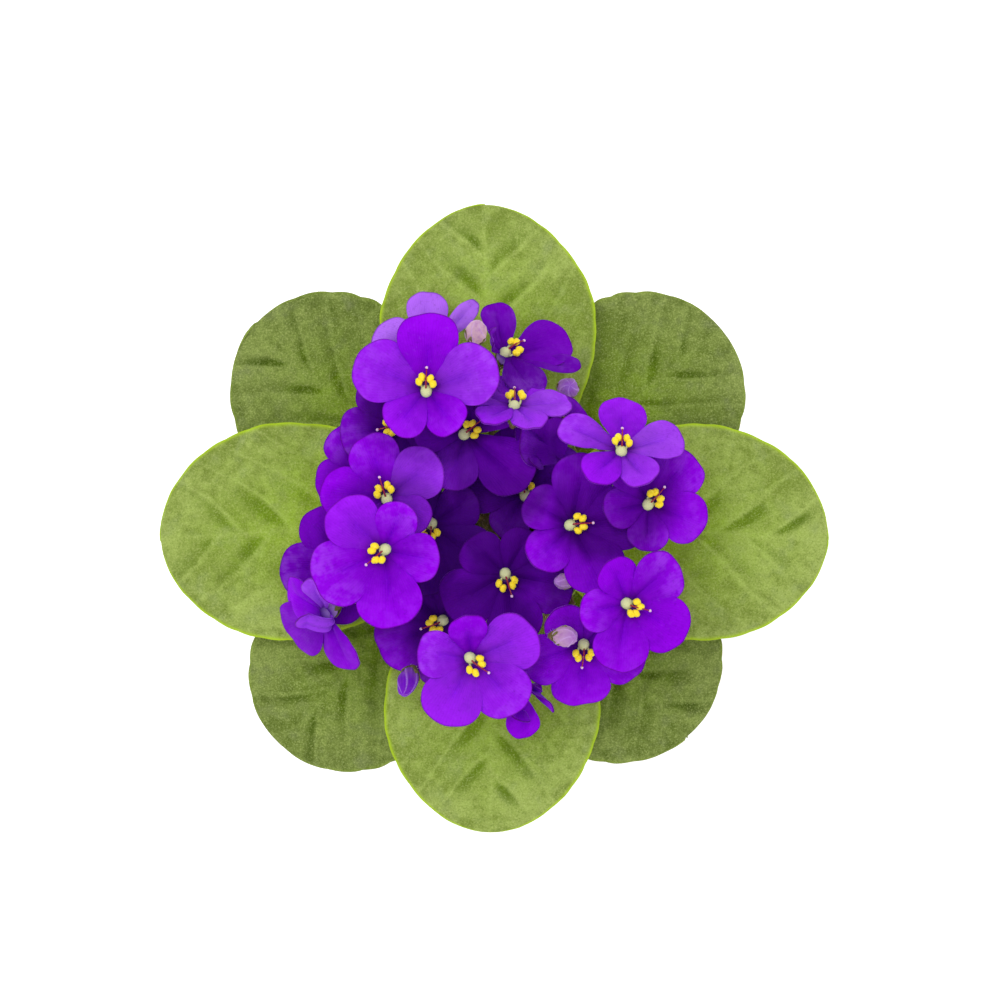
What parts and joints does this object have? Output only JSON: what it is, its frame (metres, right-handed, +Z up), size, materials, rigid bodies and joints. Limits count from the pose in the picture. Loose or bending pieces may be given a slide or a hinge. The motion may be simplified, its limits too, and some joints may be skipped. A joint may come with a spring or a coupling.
{
  "type": "potted african violet",
  "caption": "Potted African violet: an open rosette of broad velvety leaves around a dense dome of violet flowers, in a plain clay pot with a collar.",
  "frame": {"origin": "middle of the pot's flat underside, which rests on the floor", "axes": "+Z up, along the pot's axis; +X along the longer way across the rosette, through the east and west leaves; +Y towards the north leaf"},
  "size_m": [0.1938, 0.1824, 0.1586],
  "materials": {
    "clay": "matte unglazed terracotta",
    "potting_mix": "rough, moist and crumbly, with white grit",
    "crown": "matte, fleshy and scarred",
    "upper_leaf": "velvety, quilted between veins",
    "lower_leaf": "velvety, quilted between veins, darker",
    "young_leaf": "velvety, pale",
    "stalk": "finely hairy",
    "petal": "soft crystalline sheen",
    "bud": "soft, hairy at the sepals"
  },
  "bodies": {
    "root": {"pot": "clay", "potting_mix": "potting_mix", "crown": "crown", "leaf_east": "upper_leaf", "leaf_north": "upper_leaf", "leaf_west": "upper_leaf", "leaf_south": "upper_leaf", "leaf_north_east": "lower_leaf", "leaf_north_west": "lower_leaf", "leaf_south_west": "lower_leaf", "leaf_south_east": "lower_leaf", "young_leaf_1": "young_leaf", "young_leaf_2": "young_leaf", "young_leaf_3": "young_leaf", "young_leaf_4": "young_leaf", "flower_stalk_north_west": "stalk", "flower_stalk_north": "stalk", "flower_stalk_east": "stalk", "flower_stalk_south_east": "stalk", "flower_stalk_south": "stalk", "flower_stalk_south_west": "stalk", "flower_stalk_west": "stalk", "corolla_01": "petal", "corolla_02": "petal", "corolla_03": "petal", "corolla_04": "petal", "corolla_05": "petal", "corolla_06": "petal", "corolla_07": "petal", "corolla_08": "petal", "corolla_09": "petal", "corolla_10": "petal", "corolla_11": "petal", "corolla_12": "petal", "corolla_13": "petal", "corolla_14": "petal", "corolla_15": "petal", "corolla_16": "petal", "corolla_17": "petal", "corolla_18": "petal", "corolla_19": "petal", "corolla_20": "petal", "corolla_21": "petal", "corolla_22": "petal", "corolla_23": "petal", "bud_north": "bud", "bud_north_east": "bud", "bud_centre": "bud", "bud_south_east": "bud", "bud_south_west": "bud"}
  },
  "joints": []
}
